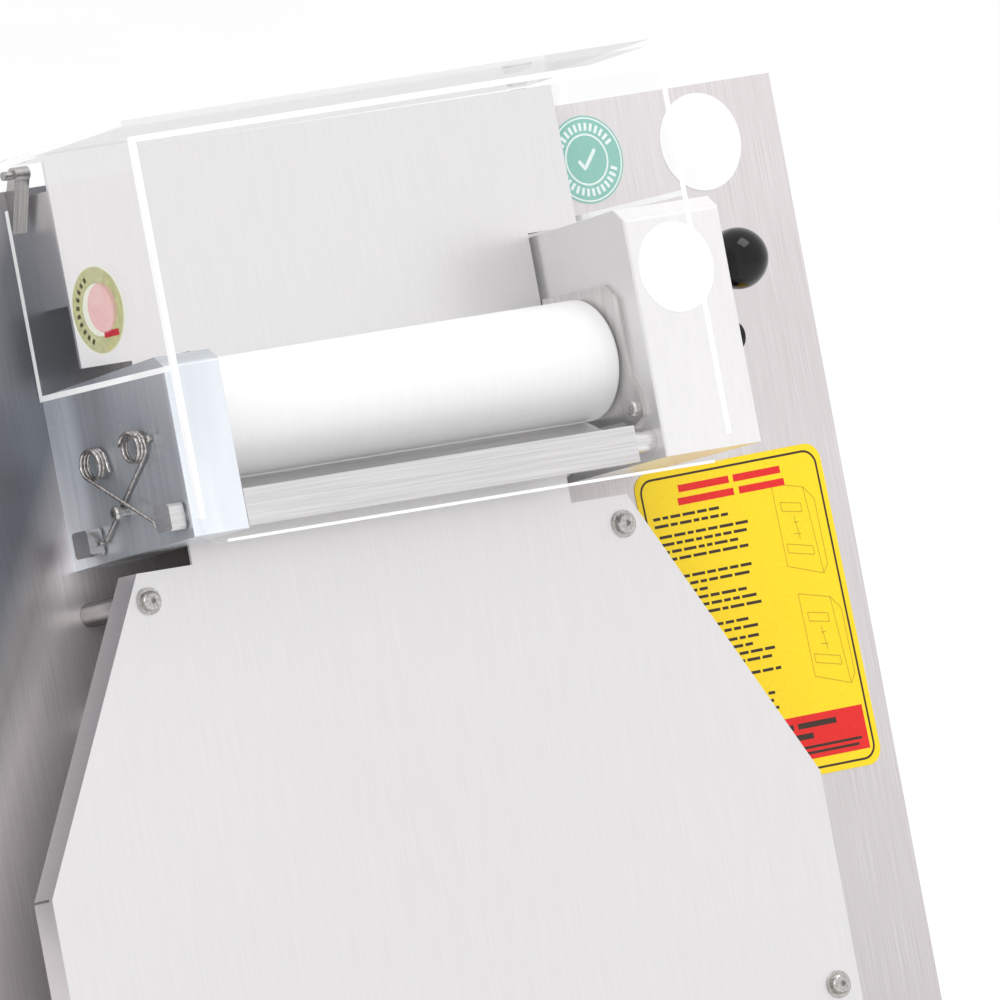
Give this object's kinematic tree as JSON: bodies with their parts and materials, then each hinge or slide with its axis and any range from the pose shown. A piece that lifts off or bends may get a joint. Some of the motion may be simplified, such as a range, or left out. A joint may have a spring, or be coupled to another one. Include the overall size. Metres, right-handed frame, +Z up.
{
  "type": "dough sheeter",
  "caption": "Countertop double-pass dough sheeter: leaning steel body, short upper and long lower roller heads, chute panel, clear hinged covers, gap cranks.",
  "frame": {"origin": "middle of the machine's footprint on the floor", "axes": "+X to the machine's right seen from the front, front faces -Y, +Z up"},
  "size_m": [0.5942, 0.4096, 0.6638],
  "materials": {
    "brushed_face": "vertical brushed grain",
    "satin_panel": "fine satin, folded sheet",
    "case_steel": "brushed sheet",
    "cast_aluminium": "satin milled",
    "bracket_aluminium": "milled, polished side",
    "clear_acrylic": "clear, polished edges",
    "white_roller": "white food-grade plastic, turned",
    "turned_steel": "turned",
    "spring_wire": "drawn wire",
    "scraper_steel": "ground bar",
    "screw_steel": "bright zinc",
    "knob_black": "polished phenolic",
    "label_yellow": "printed vinyl",
    "sticker_green": "printed vinyl",
    "sticker_white": "plain vinyl",
    "sticker_ring": "translucent vinyl",
    "spacer_white": "moulded",
    "foot_rubber": "moulded",
    "motor_paint": "painted casting",
    "gear_case": "raw casting",
    "chain_steel": "oiled",
    "switch_plastic": "moulded",
    "button_green": "moulded",
    "button_red": "moulded",
    "inlet_black": "moulded"
  },
  "bodies": {
    "frame": {"front_plate": "brushed_face", "left_side_panel": "case_steel", "right_side_panel": "case_steel", "top_cover": "case_steel", "back_cover": "case_steel", "base_plate": "case_steel", "rubber_feet": "foot_rubber", "case_screws": "screw_steel", "chute_panel": "satin_panel", "chute_standoffs": "turned_steel", "chute_screws": "screw_steel", "chute_spacers": "spacer_white", "instruction_label": "label_yellow", "check_sticker": "sticker_green", "round_sticker": "sticker_white", "upper_left_bracket": "bracket_aluminium", "upper_right_housing": "cast_aluminium", "upper_front_spring": "spring_wire", "upper_rear_spring": "spring_wire", "lower_left_bracket": "bracket_aluminium", "lower_right_housing": "cast_aluminium", "lower_front_spring": "spring_wire", "lower_rear_spring": "spring_wire", "roller_end_plates": "scraper_steel", "rear_bearings": "turned_steel", "drive_chains": "chain_steel", "spring_screws": "screw_steel", "housing_cap": "sticker_white", "upper_infeed_plate": "satin_panel", "lower_infeed_plate": "satin_panel", "cover_lugs": "turned_steel", "motor": "motor_paint", "gearbox": "gear_case", "outboard_bearing": "gear_case", "switch_box": "switch_plastic", "power_inlet": "inlet_black"},
    "upper_hood": {"upper_hood": "clear_acrylic", "hood_sticker": "sticker_ring"},
    "lower_guard": {"lower_guard": "clear_acrylic"},
    "drive_shaft": {"drive_shaft": "turned_steel"},
    "start_button": {"start_button": "button_green"},
    "stop_button": {"stop_button": "button_red"},
    "lower_carriage": {"lower_sliding_bearings": "turned_steel"},
    "lower_front_roller": {"lower_front_roller": "white_roller", "lower_front_shaft": "turned_steel"},
    "lower_rear_roller": {"lower_rear_roller": "white_roller", "lower_rear_shaft": "turned_steel"},
    "lower_gap_lever": {"lower_gap_lever": "turned_steel", "lower_lever_knob": "knob_black"},
    "lower_front_scraper": {"lower_front_scraper": "scraper_steel"},
    "lower_rear_scraper": {"lower_rear_scraper": "scraper_steel"},
    "upper_carriage": {"upper_sliding_bearings": "turned_steel"},
    "upper_front_roller": {"upper_front_roller": "white_roller", "upper_front_shaft": "turned_steel"},
    "upper_rear_roller": {"upper_rear_roller": "white_roller", "upper_rear_shaft": "turned_steel"},
    "upper_gap_lever": {"upper_gap_lever": "turned_steel", "upper_lever_knob": "knob_black"},
    "upper_front_scraper": {"upper_front_scraper": "scraper_steel"},
    "upper_rear_scraper": {"upper_rear_scraper": "scraper_steel"}
  },
  "joints": [
    {"name": "hood_hinge", "type": "hinge", "parent": "frame", "child": "upper_hood", "pos_m": [-0.0099, 0.07329, 0.62321], "axis": [-1, 0, 0], "range_deg": [0, 88]},
    {"name": "guard_hinge", "type": "hinge", "parent": "frame", "child": "lower_guard", "pos_m": [-0.0099, -0.11439, 0.21062], "axis": [-1, 0, 0], "range_deg": [0, 80]},
    {"name": "lower_gap_lever_turn", "type": "hinge", "parent": "frame", "child": "lower_gap_lever", "pos_m": [-0.0099, -0.13341, 0.13268], "axis": [1, 0, 0], "range_deg": [-60.5, 100.5]},
    {"name": "lower_gap_slide", "type": "slide", "parent": "frame", "child": "lower_carriage", "axis": [0, -0.9511, 0.309], "range_m": [-0.0015, 0.0025]},
    {"name": "lower_rear_roller_spin", "type": "hinge", "parent": "frame", "child": "lower_rear_roller", "pos_m": [-0.0099, -0.07872, 0.11491], "axis": [1, 0, 0], "continuous": true},
    {"name": "lower_front_roller_spin", "type": "hinge", "parent": "lower_carriage", "child": "lower_front_roller", "pos_m": [-0.0099, -0.13341, 0.13268], "axis": [1, 0, 0], "continuous": true},
    {"name": "lower_front_scraper_tilt", "type": "hinge", "parent": "frame", "child": "lower_front_scraper", "pos_m": [-0.0099, -0.17952, 0.10403], "axis": [-1, 0, 0], "range_deg": [0, 12], "stiffness_Nm_per_rad": 1, "springref_deg": -11.46, "deforming": ["lower_front_spring"]},
    {"name": "lower_rear_scraper_tilt", "type": "hinge", "parent": "frame", "child": "lower_rear_scraper", "pos_m": [-0.0099, -0.11768, 0.08078], "axis": [-1, 0, 0], "range_deg": [0, 6], "stiffness_Nm_per_rad": 1, "springref_deg": -11.46, "deforming": ["lower_rear_spring"]},
    {"name": "upper_gap_lever_turn", "type": "hinge", "parent": "frame", "child": "upper_gap_lever", "pos_m": [-0.0099, -0.00783, 0.51919], "axis": [1, 0, 0], "range_deg": [-60.5, 100.5]},
    {"name": "upper_gap_slide", "type": "slide", "parent": "frame", "child": "upper_carriage", "axis": [0, -0.9511, 0.309], "range_m": [-0.0015, 0.0025]},
    {"name": "upper_rear_roller_spin", "type": "hinge", "parent": "frame", "child": "upper_rear_roller", "pos_m": [-0.0099, 0.04686, 0.50142], "axis": [1, 0, 0], "continuous": true},
    {"name": "upper_front_roller_spin", "type": "hinge", "parent": "upper_carriage", "child": "upper_front_roller", "pos_m": [-0.0099, -0.00783, 0.51919], "axis": [1, 0, 0], "continuous": true},
    {"name": "upper_front_scraper_tilt", "type": "hinge", "parent": "frame", "child": "upper_front_scraper", "pos_m": [-0.0099, -0.05394, 0.49053], "axis": [-1, 0, 0], "range_deg": [0, 12], "stiffness_Nm_per_rad": 1, "springref_deg": -11.46, "deforming": ["upper_front_spring"]},
    {"name": "upper_rear_scraper_tilt", "type": "hinge", "parent": "frame", "child": "upper_rear_scraper", "pos_m": [-0.0099, 0.00791, 0.46729], "axis": [-1, 0, 0], "range_deg": [0, 6], "stiffness_Nm_per_rad": 1, "springref_deg": -11.46, "deforming": ["upper_rear_spring"]},
    {"name": "drive_shaft_spin", "type": "hinge", "parent": "frame", "child": "drive_shaft", "pos_m": [-0.0099, 0.07634, 0.12131], "axis": [1, 0, 0], "continuous": true},
    {"name": "start_button_press", "type": "slide", "parent": "frame", "child": "start_button", "axis": [-1, 0, 0], "range_m": [0, 0.003], "stiffness_N_per_m": 500, "springref_m": -0.002},
    {"name": "stop_button_press", "type": "slide", "parent": "frame", "child": "stop_button", "axis": [-1, 0, 0], "range_m": [0, 0.003], "stiffness_N_per_m": 500, "springref_m": -0.002}
  ],
  "couplings": [
    {"joint": "lower_gap_lever_turn", "follows": "lower_gap_slide", "rad_per_m": 698.13},
    {"joint": "upper_gap_lever_turn", "follows": "upper_gap_slide", "rad_per_m": 698.13},
    {"joint": "lower_front_roller_spin", "follows": "lower_rear_roller_spin", "ratio": -1},
    {"joint": "upper_rear_roller_spin", "follows": "lower_rear_roller_spin", "ratio": 1},
    {"joint": "upper_front_roller_spin", "follows": "lower_rear_roller_spin", "ratio": -1},
    {"joint": "drive_shaft_spin", "follows": "lower_rear_roller_spin", "ratio": 1}
  ]
}
